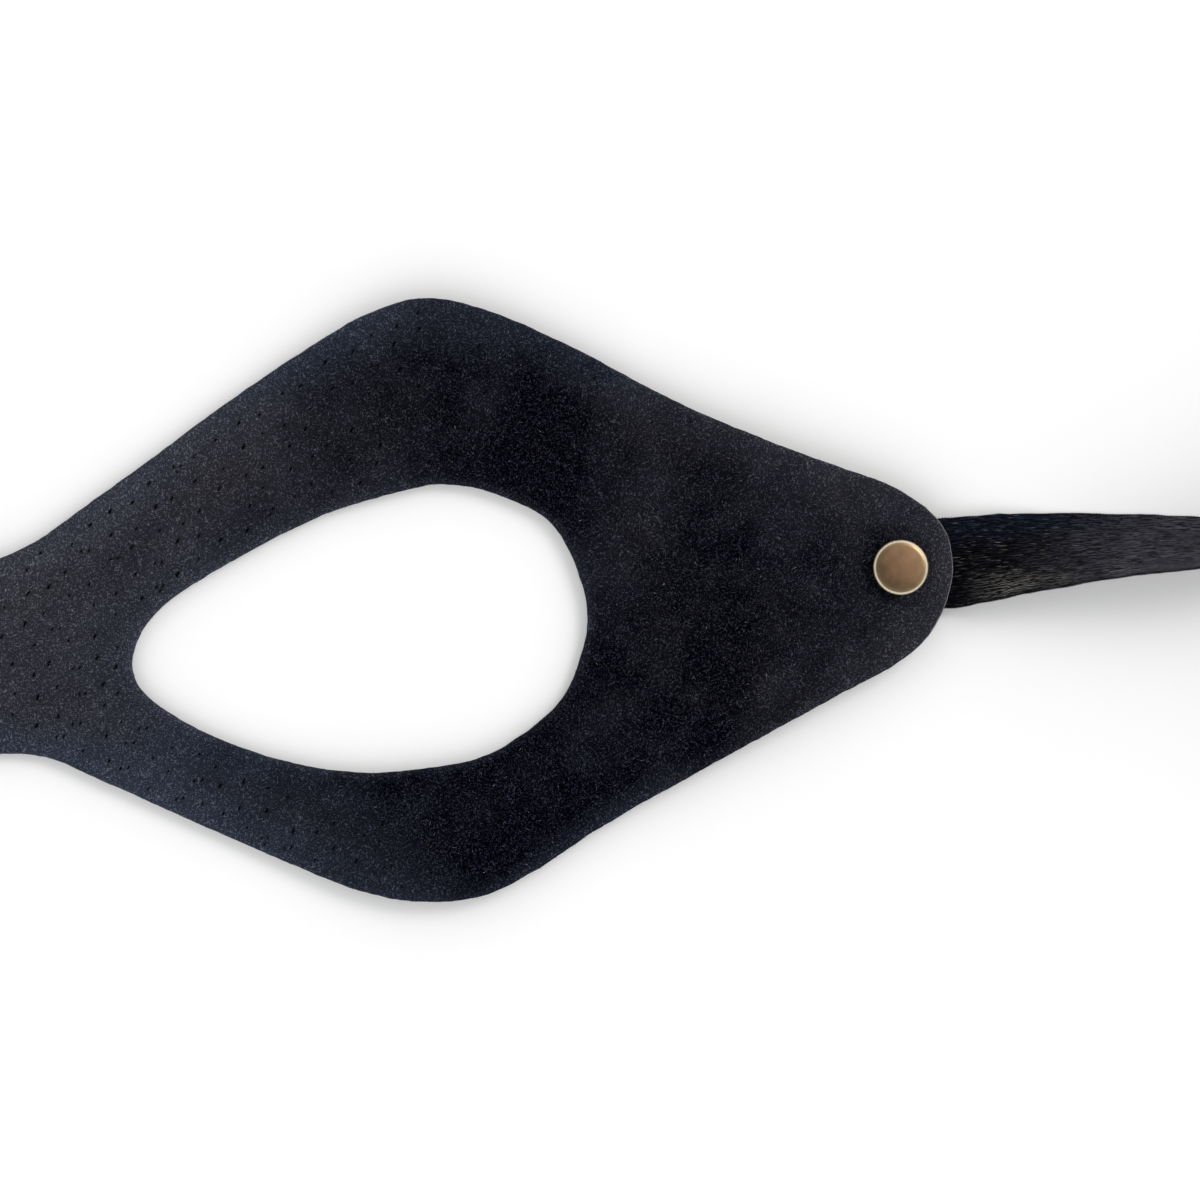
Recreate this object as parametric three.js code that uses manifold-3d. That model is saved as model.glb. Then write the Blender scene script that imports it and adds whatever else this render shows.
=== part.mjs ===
// A flat eye mask cut from one piece of suede leather, lying face up on a table, with two ribbon ties.
//
// Each end of the leather narrows to a rounded tab. A double-cap rivet goes through the tab and holds a
// satin ribbon behind it. The ribbon leaves the tab lying flat, turns on to its edge, and is put away
// in a loose coil that stands on the table.
//
// Frame, in millimetres: +X along the mask, +Y towards the forehead, +Z up from the table, which is
// also out of the face of the mask. The origin is on the table, on the middle line of the nose bridge
// and half way between the highest and the lowest point of the outline.
// Right is the +X side, as the mask is seen from its face. The left side is its mirror.

import * as THREE from "three";
import { mergeVertices } from "three/addons/utils/BufferGeometryUtils.js";
import Module from "manifold-3d";

const wasm = await Module();
wasm.setup();

// Driving dimensions

const leatherThickness = 1.4;
const ribbonWidth = 10;
const ribbonThickness = 0.3;
const capRadius = 3.05;
const backCapHeight = 1.1;
const frontCapHeight = 1.25;
const contactGap = 0.03; // between faces that lie on each other
const stemRadius = 0.9; // the post's stem
const socketRadius = 1.45; // the tube under the front cap that grips the stem
const socketWall = 0.4;
const ribbonHoleRadius = 1.1;
const leatherHoleRadius = 1.6;

// Heights above the table where the tab, the ribbon and the rivet are stacked

const ribbonSeat = backCapHeight + contactGap;
const tabLift = ribbonSeat + ribbonThickness + contactGap;
const frontCapSeat = tabLift + leatherThickness + contactGap;

const rivetAt = { x: 102.2, y: 3.6 };

// Right half of the outline, from the middle of the top edge round the tab to the middle of the lower edge

const outlineRight = [
  [0, 4.3],
  [4.4, 5.6],
  [13.3, 11.6],
  [28.9, 23.0],
  [35.5, 27.4],
  [41.8, 31.2],
  [46.4, 33.0],
  [50.0, 33.5],
  [55.5, 32.4],
  [64.4, 28.7],
  [77.7, 21.8],
  [86.6, 18.0],
  [95.5, 14.7],
  [101.0, 12.7],
  [105.0, 10.2],
  [107.0, 7.9],
  [107.8, 5.4],
  [107.9, 2.6],
  [107.0, -0.8],
  [105.2, -4.0],
  [102.1, -6.8],
  [95.5, -10.4],
  [77.7, -20.2],
  [68.8, -25.3],
  [61.0, -30.4],
  [55.5, -32.9],
  [48.8, -33.5],
  [42.2, -32.3],
  [28.9, -26.9],
  [13.3, -20.0],
  [7.8, -17.6],
  [4.4, -17.1],
  [0, -17.2],
];

// The right eye opening, from its inner corner over the top

const eyeRight = [
  [16.8, -7.0],
  [17.8, -3.6],
  [20.4, -0.5],
  [28.9, 4.9],
  [37.7, 9.3],
  [46.6, 12.1],
  [51.1, 12.9],
  [55.5, 12.3],
  [60.4, 10.5],
  [63.1, 8.8],
  [65.0, 6.2],
  [66.7, 2.2],
  [67.5, -1.8],
  [66.6, -6.6],
  [64.7, -10.8],
  [62.2, -13.4],
  [56.4, -17.2],
  [49.5, -18.7],
  [42.0, -19.2],
  [33.3, -17.8],
  [24.4, -14.5],
  [19.4, -11.5],
  [17.4, -9.4],
];

// How the leather lies: flat under the nose bridge, lifted by the rivets at the tabs, and curling up
// a little at the brow and the cheek

const noseFlatTo = 15;
const tabRise = { from: 60, to: 90 };
const curl = { x: 50, reach: 34, brow: 1.3, cheek: 0.9, from: 9, to: 33.5 };

// The route of the right ribbon: x, y, and how far it has turned on to its edge, in degrees

const ribbonRoute = [
  [94.5, 2.8, 0],
  [98.4, 3.2, 0],
  [102.2, 3.6, 0],
  [106.0, 4.0, 0],
  [108.0, 4.2, 0],
  [110.4, 4.5, 9],
  [113.2, 4.8, 18],
  [118.8, 5.3, 30],
  [124.3, 5.8, 41],
  [129.9, 6.2, 49],
  [135.3, 6.4, 56],
  [140.6, 6.8, 65],
  [146.0, 8.0, 74],
  [151.4, 10.4, 82],
  [155.3, 12.8, 88],
  [158.4, 15.3, 90],
];
const ribbonSettles = { from: 106, to: 124 }; // where its lower edge comes down on to the table

// The coil that the rest of the ribbon makes, standing on its edge

const coil = { x: 184, y: -2.6, inner: 19.7, outer: 30.6 };

// Small helpers

const smooth = (from, to, value) => THREE.MathUtils.smoothstep(value, from, to);

const mirrored = (points) => points.map(([x, y]) => [-x, y]);

function closedCurve(points, spacing) {
  const knots = points.map(([x, y]) => new THREE.Vector3(x, y, 0));
  const curve = new THREE.CatmullRomCurve3(knots, true, "centripetal");
  const count = Math.round(curve.getLength() / spacing);
  return curve.getSpacedPoints(count).slice(0, -1).map(({ x, y }) => new THREE.Vector2(x, y));
}

function solidOf(geometry) {
  const bare = geometry.index ? geometry.toNonIndexed() : geometry.clone();
  bare.deleteAttribute("normal");
  bare.deleteAttribute("uv");
  const merged = mergeVertices(bare, 1e-4);
  const mesh = new wasm.Mesh({
    numProp: 3,
    vertProperties: new Float32Array(merged.attributes.position.array),
    triVerts: new Uint32Array(merged.index.array),
  });
  return new wasm.Manifold(mesh);
}

function geometryOf(solid) {
  const { vertProperties, triVerts } = solid.getMesh();
  const geometry = new THREE.BufferGeometry();
  geometry.setAttribute("position", new THREE.BufferAttribute(vertProperties, 3));
  geometry.setIndex(new THREE.BufferAttribute(triVerts, 1));
  geometry.computeVertexNormals();
  return geometry;
}

function piece(name, geometry, material) {
  const mesh = new THREE.Mesh(geometry, material);
  mesh.name = name;
  return mesh;
}

// Materials

const suede = new THREE.MeshStandardMaterial({ color: 0x26262c, roughness: 0.95, metalness: 0 });
const oldBrass = new THREE.MeshStandardMaterial({ color: 0x8a7050, roughness: 0.38, metalness: 0.9 });
const satin = new THREE.MeshStandardMaterial({ color: 0x18181d, roughness: 0.42, metalness: 0 });

// The leather: a thin slab that follows the way it lies, trimmed to the outline and the openings

function leatherHeight(x, y) {
  const side = Math.abs(x);
  const pastReach = smooth(0, curl.reach, Math.abs(side - curl.x));
  const nearCurl = (1 - pastReach) * smooth(noseFlatTo, curl.x, side);
  const brow = curl.brow * smooth(curl.from, curl.to, y);
  const cheek = curl.cheek * smooth(curl.from, curl.to, -y);
  return tabLift * smooth(tabRise.from, tabRise.to, side) + nearCurl * (brow + cheek);
}

function leatherGeometry() {
  const [across, up, spacing, spare] = [60, 17, 1.7, 1];
  const length = 2 * (108 + spare);
  const height = 2 * (33.5 + spare);
  const slab = new THREE.BoxGeometry(length, height, leatherThickness, across, up, 1);
  const at = slab.attributes.position;
  for (let i = 0; i < at.count; i += 1) {
    const lift = leatherHeight(at.getX(i), at.getY(i)) + leatherThickness / 2;
    at.setZ(i, at.getZ(i) + lift);
  }
  const clockwise = [...outlineRight, ...mirrored(outlineRight).slice(1, -1).reverse()];
  const shape = new THREE.Shape(closedCurve(clockwise, spacing).reverse());
  for (const opening of [eyeRight, mirrored(eyeRight)]) {
    shape.holes.push(new THREE.Path(closedCurve(opening, spacing)));
  }
  for (const x of [rivetAt.x, -rivetAt.x]) {
    const hole = new THREE.Path().absarc(x, rivetAt.y, leatherHoleRadius, 0, 2 * Math.PI);
    shape.holes.push(new THREE.Path(hole.getSpacedPoints(20).slice(0, -1)));
  }
  const cutter = new THREE.ExtrudeGeometry(shape, { depth: 12, bevelEnabled: false });
  cutter.translate(0, 0, -4);
  return geometryOf(solidOf(slab).intersect(solidOf(cutter)));
}

// The rivet: a front cap whose socket grips the stem of the post, and the post's own cap behind

function turned(profile) {
  const points = profile.map(([radius, height]) => new THREE.Vector2(radius, height));
  return new THREE.LatheGeometry(points, 36).rotateX(Math.PI / 2);
}

function capProfile(height) {
  const crown = 0.12; // how far the face of the cap stands above its edge
  return [
    [capRadius - 0.3, 0],
    [capRadius - 0.06, 0.16],
    [capRadius, 0.42],
    [capRadius - 0.03, height - crown - 0.3],
    [capRadius - 0.16, height - crown - 0.08],
    [capRadius - 0.42, height - crown],
    [capRadius * 0.6, height - crown * 0.3],
    [capRadius * 0.35, height],
    [0, height],
  ];
}

function frontCapGeometry() {
  const ceiling = 0.5;
  const socketReach = -leatherThickness + 0.2;
  const profile = [
    [0, ceiling],
    [socketRadius - socketWall, ceiling],
    [socketRadius - socketWall, socketReach],
    [socketRadius, socketReach],
    [socketRadius, 0],
    ...capProfile(frontCapHeight),
  ];
  return turned(profile).translate(0, 0, frontCapSeat);
}

function postGeometry() {
  const stemTop = frontCapSeat + 0.4;
  const face = capProfile(backCapHeight).map(([radius, height]) => [radius, backCapHeight - height]);
  const profile = [...face.reverse(), [stemRadius, backCapHeight], [stemRadius, stemTop], [0, stemTop]];
  return turned(profile);
}

// The ribbon: a flat strip bent along its route, with the far edge down and the near edge turned up

function ribbonFrame(curve, share) {
  const step = 0.002;
  const here = curve.getPoint(share);
  const before = curve.getPoint(Math.max(0, share - step));
  const after = curve.getPoint(Math.min(1, share + step));
  const along = new THREE.Vector2(after.x - before.x, after.y - before.y).normalize();
  const turn = THREE.MathUtils.degToRad(here.z);
  const lowerEdge = ribbonSeat * (1 - smooth(ribbonSettles.from, ribbonSettles.to, here.x));
  const rise = (ribbonWidth * Math.sin(turn) + ribbonThickness * Math.cos(turn)) / 2;
  const left = new THREE.Vector3(-along.y, along.x, 0);
  const up = new THREE.Vector3(0, 0, 1);
  return {
    centre: new THREE.Vector3(here.x, here.y, lowerEdge + rise),
    across: left.clone().multiplyScalar(Math.cos(turn)).addScaledVector(up, -Math.sin(turn)),
    face: left.clone().multiplyScalar(Math.sin(turn)).addScaledVector(up, Math.cos(turn)),
  };
}

function ribbonGeometry() {
  const steps = 44;
  const knots = ribbonRoute.map(([x, y, turn]) => new THREE.Vector3(x, y, turn));
  const curve = new THREE.CatmullRomCurve3(knots, false, "centripetal");
  const strip = new THREE.BoxGeometry(1, ribbonWidth, ribbonThickness, steps, 1, 1);
  const at = strip.attributes.position;
  for (let i = 0; i < at.count; i += 1) {
    const { centre, across, face } = ribbonFrame(curve, at.getX(i) + 0.5);
    centre.addScaledVector(across, at.getY(i)).addScaledVector(face, at.getZ(i));
    at.setXYZ(i, centre.x, centre.y, centre.z);
  }
  const punch = new THREE.CylinderGeometry(ribbonHoleRadius, ribbonHoleRadius, 4, 20).rotateX(Math.PI / 2);
  punch.translate(rivetAt.x, rivetAt.y, ribbonSeat);
  return geometryOf(solidOf(strip).subtract(solidOf(punch)));
}

function coilGeometry() {
  const profile = [
    [coil.inner, 0],
    [coil.outer, 0],
    [coil.outer, ribbonWidth],
    [coil.inner, ribbonWidth],
    [coil.inner, 0],
  ];
  const points = profile.map(([radius, height]) => new THREE.Vector2(radius, height));
  return new THREE.LatheGeometry(points, 48).rotateX(Math.PI / 2).translate(coil.x, coil.y, 0);
}

// One side: the rivet through the tab, and the ribbon that it holds

function side(name) {
  const group = new THREE.Group();
  const frontCap = piece(`rivet_cap_${name}`, frontCapGeometry(), oldBrass);
  const post = piece(`rivet_post_${name}`, postGeometry(), oldBrass);
  for (const part of [frontCap, post]) {
    part.position.set(rivetAt.x, rivetAt.y, 0);
  }
  const ribbon = piece(`ribbon_${name}`, ribbonGeometry(), satin);
  const ribbonCoil = piece(`ribbon_coil_${name}`, coilGeometry(), satin);
  group.add(frontCap, post, ribbon, ribbonCoil);
  return group;
}

const mask = new THREE.Group();
mask.add(piece("leather_mask", leatherGeometry(), suede));
const right = side("right");
const left = side("left");
left.scale.x = -1;
mask.add(right, left);

export default mask;
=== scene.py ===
# A suede eye mask with brass rivets and satin ribbon ties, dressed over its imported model.
# Lengths are in metres. Right is the +X side, as the mask is seen from its face.

import math
import random

import bmesh
import bpy
from mathutils import Matrix, Vector, noise
from mathutils.geometry import delaunay_2d_cdt
from mathutils.kdtree import KDTree


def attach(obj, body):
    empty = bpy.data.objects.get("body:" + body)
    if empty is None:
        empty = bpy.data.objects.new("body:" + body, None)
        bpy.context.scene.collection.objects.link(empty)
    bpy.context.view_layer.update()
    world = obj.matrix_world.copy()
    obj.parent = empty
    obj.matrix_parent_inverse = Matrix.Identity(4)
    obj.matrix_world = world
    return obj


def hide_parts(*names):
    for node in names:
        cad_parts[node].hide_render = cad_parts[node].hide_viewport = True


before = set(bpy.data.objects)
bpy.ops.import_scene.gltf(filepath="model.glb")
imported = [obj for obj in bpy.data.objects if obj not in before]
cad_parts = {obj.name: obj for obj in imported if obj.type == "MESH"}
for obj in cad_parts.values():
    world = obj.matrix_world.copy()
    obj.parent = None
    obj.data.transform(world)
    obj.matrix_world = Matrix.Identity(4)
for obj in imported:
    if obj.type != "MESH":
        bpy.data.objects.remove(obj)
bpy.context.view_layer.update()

mm = 0.001
sides = {"right": 1, "left": -1}


# Curves and small helpers

def smooth(low, high, value):
    part = min(1, max(0, (value - low) / (high - low)))
    return part * part * (3 - 2 * part)


def mix(start, end, part):
    return start + (end - start) * part


def lookUp(table, value):
    for (low, first), (high, second) in zip(table, table[1:]):
        if value <= high:
            return mix(first, second, max(0.0, (value - low) / (high - low)))
    return table[-1][1]


def catmullRom(knots, closed, stepsPerSpan):
    # centripetal, so that it runs through the knots as the solid's outline does
    count = len(knots)
    spans = count if closed else count - 1
    points = []

    def knot(index):
        if closed:
            return knots[index % count]
        if index < 0:
            return knots[0] * 2 - knots[1]
        if index >= count:
            return knots[-1] * 2 - knots[-2]
        return knots[index]

    for span in range(spans):
        p0, p1, p2, p3 = (knot(span + offset) for offset in (-1, 0, 1, 2))
        d0, d1, d2 = ((b - a).length ** 0.5 for a, b in ((p0, p1), (p1, p2), (p2, p3)))
        leave = ((p1 - p0) / d0 - (p2 - p0) / (d0 + d1) + (p2 - p1) / d1) * d1
        arrive = ((p2 - p1) / d1 - (p3 - p1) / (d1 + d2) + (p3 - p2) / d2) * d1
        for step in range(stepsPerSpan):
            t = step / stepsPerSpan
            c2 = (p2 - p1) * 3 - leave * 2 - arrive
            c3 = (p1 - p2) * 2 + leave + arrive
            points.append(p1 + leave * t + c2 * t ** 2 + c3 * t ** 3)
    if not closed:
        points.append(knots[-1].copy())
    return points


def evenly(points, step, closed):
    # the same line again, with points one step apart in x and y
    loop = points + points[:1] if closed else points
    reach = [0.0]
    for a, b in zip(loop, loop[1:]):
        reach.append(reach[-1] + (b.xy - a.xy).length)
    count = max(2, round(reach[-1] / step))
    result = []
    at = 0
    for index in range(count if closed else count + 1):
        target = reach[-1] * index / count
        while at < len(reach) - 2 and reach[at + 1] < target:
            at += 1
        span = reach[at + 1] - reach[at]
        result.append(loop[at].lerp(loop[at + 1], (target - reach[at]) / span if span else 0))
    return result


def meshObject(name, vertices, faces, materials, attributes=None, slots=None):
    mesh = bpy.data.meshes.new(name)
    mesh.from_pydata(vertices, [], faces)
    for material in materials:
        mesh.materials.append(material)
    for label, values in (attributes or {}).items():
        mesh.attributes.new(label, "FLOAT", "POINT").data.foreach_set("value", values)
    if slots:
        mesh.polygons.foreach_set("material_index", slots)
    mesh.shade_smooth()
    mesh.update()
    piece = bpy.data.objects.new(name, mesh)
    bpy.context.scene.collection.objects.link(piece)
    return piece


def triangleCount(piece):
    piece.data.calc_loop_triangles()
    return len(piece.data.loop_triangles)


# The camera looks straight down, as in the photograph

cameraSettings = {
    "lens": 200,  # long, because the photograph shows none of the leather's cut sides
    "sensor": 36,
    "viewWidth": 133.2 * mm,  # what the picture takes in at the height of the leather's face
    "middle": (68.82 * mm, 0.0),
    "faceHeight": 2.0 * mm,
}


def makeCamera(s):
    data = bpy.data.cameras.new("camera")
    data.lens = s["lens"]
    data.sensor_width = s["sensor"]
    data.clip_start = 0.01
    data.clip_end = 20
    camera = bpy.data.objects.new("camera", data)
    away = s["viewWidth"] / s["sensor"] * s["lens"]
    camera.location = (*s["middle"], s["faceHeight"] + away)
    bpy.context.scene.collection.objects.link(camera)
    bpy.context.scene.camera = camera


makeCamera(cameraSettings)
print("camera made")


# Node trees

def feed(tree, value, socket):
    # a link where the value is another node's socket, otherwise the value itself
    if isinstance(value, bpy.types.NodeSocket):
        tree.links.new(value, socket)
    else:
        socket.default_value = value


def addNode(tree, kind, inputs=None, **settings):
    node = tree.nodes.new(kind)
    for key, value in settings.items():
        setattr(node, key, value)
    for key, value in (inputs or {}).items():
        feed(tree, value, node.inputs[key])
    return node


def maths(tree, operation, first, second, clamp=False):
    node = addNode(tree, "ShaderNodeMath", {0: first, 1: second}, operation=operation, use_clamp=clamp)
    return node.outputs[0]


def weighed(tree, first, firstShare, second, secondShare):
    first = maths(tree, "MULTIPLY", first, firstShare)
    return maths(tree, "ADD", first, maths(tree, "MULTIPLY", second, secondShare))


def blended(tree, share, first, second):
    node = addNode(tree, "ShaderNodeMix", data_type="RGBA")
    for key, value in (("Factor_Float", share), ("A_Color", first), ("B_Color", second)):
        feed(tree, value, next(item for item in node.inputs if item.identifier == key))
    return next(item for item in node.outputs if item.identifier == "Result_Color")


def spread(tree, value, low, high, toLow=0.0, toHigh=1.0):
    inputs = {"Value": value, "From Min": low, "From Max": high, "To Min": toLow, "To Max": toHigh}
    return addNode(tree, "ShaderNodeMapRange", inputs, clamp=True).outputs["Result"]


def noiseAt(tree, vector, scale, detail=3.0, roughness=0.55):
    inputs = {"Vector": vector, "Scale": scale, "Detail": detail, "Roughness": roughness}
    return addNode(tree, "ShaderNodeTexNoise", inputs).outputs["Fac"]


def colour(red, green, blue):
    return (red, green, blue, 1.0)


def newTree(kind, name, inputs, outputs):
    # inputs are (label, type, value) and outputs (label, type)
    tree = bpy.data.node_groups.new(name, kind)
    for label, form, value in inputs:
        socket = tree.interface.new_socket(label, in_out="INPUT", socket_type="NodeSocket" + form)
        if value is not None:
            socket.default_value = value
    for label, form in outputs:
        tree.interface.new_socket(label, in_out="OUTPUT", socket_type="NodeSocket" + form)
    return tree, tree.nodes.new("NodeGroupInput").outputs, tree.nodes.new("NodeGroupOutput").inputs


def makeFibreGrain():
    # short fibres lying every way: fine light and dark flecks over softer clumps
    group, given, result = newTree(
        "ShaderNodeTree", "fibreGrain",
        [("Vector", "Vector", None), ("Fibre Scale", "Float", 4200.0), ("Clump Scale", "Float", 900.0)],
        [("Fibres", "Float"), ("Clumps", "Float"), ("Height", "Float")],
    )
    bend = addNode(group, "ShaderNodeTexNoise", {"Vector": given["Vector"], "Scale": 420.0})
    drift = addNode(group, "ShaderNodeVectorMath", {0: bend.outputs["Color"], 1: (0.0006, 0.0006, 0.0006)},
                    operation="MULTIPLY")
    warped = addNode(group, "ShaderNodeVectorMath", {0: given["Vector"], 1: drift.outputs[0]}).outputs[0]
    layers = []
    for turn, stretch in ((0.35, (1.0, 0.5, 1.0)), (-0.75, (0.55, 1.0, 1.0))):
        inputs = {"Vector": warped, "Rotation": (0.0, 0.0, turn), "Scale": stretch}
        laid = addNode(group, "ShaderNodeMapping", inputs)
        layers.append(noiseAt(group, laid.outputs[0], given["Fibre Scale"], 3.0, 0.66))
    sharp = spread(group, maths(group, "MAXIMUM", *layers), 0.565, 0.66)
    clumps = noiseAt(group, warped, given["Clump Scale"], 3.0, 0.6)
    height = weighed(group, sharp, 0.6, clumps, 0.7)
    for label, value in (("Fibres", sharp), ("Clumps", clumps), ("Height", height)):
        group.links.new(value, result[label])
    return group


def makeWornEdge():
    # the colour that wear turns a surface to, laid over a mask of its edges that noise breaks up
    group, given, result = newTree(
        "ShaderNodeTree", "wornEdge",
        [("Vector", "Vector", None), ("Mask", "Float", 0.0), ("Break Up", "Float", 0.5),
         ("Scale", "Float", 2500.0), ("Color", "Color", colour(0, 0, 0)),
         ("Worn Color", "Color", colour(1, 1, 1))],
        [("Color", "Color")],
    )
    speckle = noiseAt(group, given["Vector"], given["Scale"], 3.0, 0.6)
    eaten = maths(group, "MULTIPLY", maths(group, "SUBTRACT", 1.0, speckle), given["Break Up"])
    wear = spread(group, maths(group, "SUBTRACT", given["Mask"], eaten), 0.05, 0.55)
    group.links.new(blended(group, wear, given["Color"], given["Worn Color"]), result["Color"])
    return group


fibreGrain = makeFibreGrain()
wornEdge = makeWornEdge()


def newMaterial(name, **constants):
    material = bpy.data.materials.new(name)
    material.use_nodes = True
    shader = material.node_tree.nodes["Principled BSDF"]
    for label, value in constants.items():
        shader.inputs[label].default_value = value
    return material, material.node_tree, shader


def attribute(tree, name):
    return addNode(tree, "ShaderNodeAttribute", attribute_name=name).outputs["Fac"]


def objectPlace(tree):
    return addNode(tree, "ShaderNodeTexCoord").outputs["Object"]


def placed(tree, group, inputs):
    return addNode(tree, "ShaderNodeGroup", inputs, node_tree=group).outputs


def raised(tree, shader, height, distance, strength):
    bump = addNode(tree, "ShaderNodeBump", {"Height": height, "Distance": distance, "Strength": strength})
    tree.links.new(bump.outputs["Normal"], shader.inputs["Normal"])


# Ribbons: one length of satin a side, flat under the tab, turned on to its edge, then loosely coiled

ribbon = {
    "length": 450 * mm,
    "width": 10 * mm,
    "bodyThickness": 0.22 * mm,
    "edgeThickness": 0.3 * mm,
    # by distance in from an edge: where it thins down to its body, and where the very edge is round
    "thins": (0.3 * mm, 0.9 * mm),
    "rounds": (-0.05 * mm, 0.14 * mm),
    "rowStep": 0.6 * mm,
    "underTab": 1.13 * mm,  # height of its underside where the rivet holds it
    "settles": (106, 124),  # where, along x in mm, its lower edge comes down on to the table
    "exit": (107.9, 4.2),
    "ripple": 0.05 * mm,
    # long waves and short ones: (how many to a metre along it, and across, layer of noise, share)
    "waves": ((55, 420, 3.1, 1.0), (240, 900, 7.7, 0.35)),
    "comesFree": (16 * mm, 30 * mm),  # by distance along it; under the tab it ripples less
    "heldRipple": 0.3,
    "unevenEdge": 0.15 * mm,
    # its raised edge is drawn in past the tab: how far, and where along it, in mm, it starts and ends
    "drawnIn": {"most": 0.38 * mm, "from": (17, 21), "to": (38, 28)},
    "bow": 0.5 * mm,  # how far its middle hollows between its edges where it turns on to its edge
    "bowed": ((13, 0.0), (22, 1.0), (45, 1.0), (70, 0.35), (460, 0.3)),  # by distance along it in mm
    "weftPitch": 0.34 * mm,
    "weftBead": (0.16 * mm, 0.2 * mm, 0.12 * mm),
    "weftInset": 0.1 * mm,
    "weftSeed": 4,
    # x and y in mm, and how far it has turned on to its edge, in degrees
    "route": (
        (94.5, 2.8, 0), (98.4, 3.2, 0), (102.2, 3.6, 0), (106.0, 4.0, 0), (108.0, 4.2, 0),
        (110.4, 4.5, 9), (113.2, 4.8, 18), (118.8, 5.3, 30), (124.3, 5.8, 41), (129.9, 6.2, 49),
        (135.3, 6.4, 56), (140.6, 6.8, 65), (146.0, 8.0, 74), (151.4, 10.4, 82), (155.3, 12.8, 88),
        (158.4, 15.3, 90),
    ),
    "coil": {"x": 184, "y": -2.6, "startAngle": 135, "startRadius": 30.3, "pitch": 4.05, "turns": 3.2,
             "knotsPerTurn": 20, "wobble": 0.22, "lean": 2.5},
    "across": (-5.0, -4.93, -4.8, -4.6, -4.35, -4.0, -3.4, -2.7, -2.0, -1.3, -0.65, 0.0,
               0.65, 1.3, 2.0, 2.7, 3.4, 4.0, 4.35, 4.6, 4.8, 4.93, 5.0),
}


def coilKnots(c):
    knots = []
    for index in range(int(c["turns"] * c["knotsPerTurn"]) + 1):
        share = index / c["knotsPerTurn"]
        angle = math.radians(c["startAngle"]) - 2 * math.pi * share
        uneven = c["wobble"] * math.sin(2.3 * angle + 0.6) * smooth(0, 0.4, share)
        radius = c["startRadius"] - c["pitch"] * share + uneven
        leaning = 90 + c["lean"] * math.sin(1.7 * angle) * smooth(0, 0.5, share)
        x = c["x"] + radius * math.cos(angle)
        y = c["y"] + radius * math.sin(angle)
        knots.append(Vector((x, y, leaning)))
    return knots


def ribbonRows(s):
    # rows of (centre, across, face, along) down the right ribbon, cut to its real length
    knots = [Vector(knot) for knot in s["route"]] + coilKnots(s["coil"])
    line = evenly(catmullRom(knots, False, 16), s["rowStep"] / mm, False)
    rows = []
    travelled = 0.0
    for index, here in enumerate(line[:-1]):
        before = line[max(0, index - 1)]
        after = line[index + 1]
        along = (after.xy - before.xy).normalized()
        turn = math.radians(here.z)
        lower = s["underTab"] * (1 - smooth(*s["settles"], here.x))
        rise = (s["width"] * abs(math.sin(turn)) + s["edgeThickness"] * abs(math.cos(turn))) / 2
        centre = Vector((here.x * mm, here.y * mm, lower + rise))
        left = Vector((-along.y, along.x, 0))
        up = Vector((0, 0, 1))
        across = left * math.cos(turn) - up * math.sin(turn)
        face = left * math.sin(turn) + up * math.cos(turn)
        if rows:
            travelled += (centre - rows[-1][0]).length
        rows.append((centre, across, face, travelled))
        if travelled >= s["length"]:
            break
    return rows


def halfThickness(s, u):
    # thin in the body, thicker along the selvage, rounded off at the very edge
    edge = s["width"] / 2 - abs(u)
    body = mix(s["edgeThickness"], s["bodyThickness"], smooth(*s["thins"], edge)) / 2
    return body * math.sqrt(smooth(*s["rounds"], edge))


def ripple(s, travelled, u):
    # how far the cloth stands off a flat strip: bowed across, with long shallow waves running down it
    bow = s["bow"] * lookUp(s["bowed"], travelled / mm) * ((2 * u / s["width"]) ** 2 - 1)
    waves = sum(
        share * noise.noise(Vector((travelled * along, u * across, layer)))
        for along, across, layer, share in s["waves"]
    )
    return bow + s["ripple"] * waves * mix(s["heldRipple"], 1, smooth(*s["comesFree"], travelled))


def strayed(s, travelled, u):
    # where a thread at u runs: towards either selvage the ribbon is a little wider here, narrower there
    amount = noise.noise(Vector((travelled * 330, 2.0 if u > 0 else 5.0, 1.3)))
    amount += 0.6 * noise.noise(Vector((travelled * 800, 8.0 if u > 0 else 3.0, 6.1)))
    moved = s["unevenEdge"] * amount
    if u < 0:
        drawn = s["drawnIn"]
        here = smooth(*drawn["from"], travelled / mm) * smooth(*drawn["to"], travelled / mm)
        moved -= drawn["most"] * here
    return u + moved * (2 * u / s["width"]) ** 3


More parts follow.
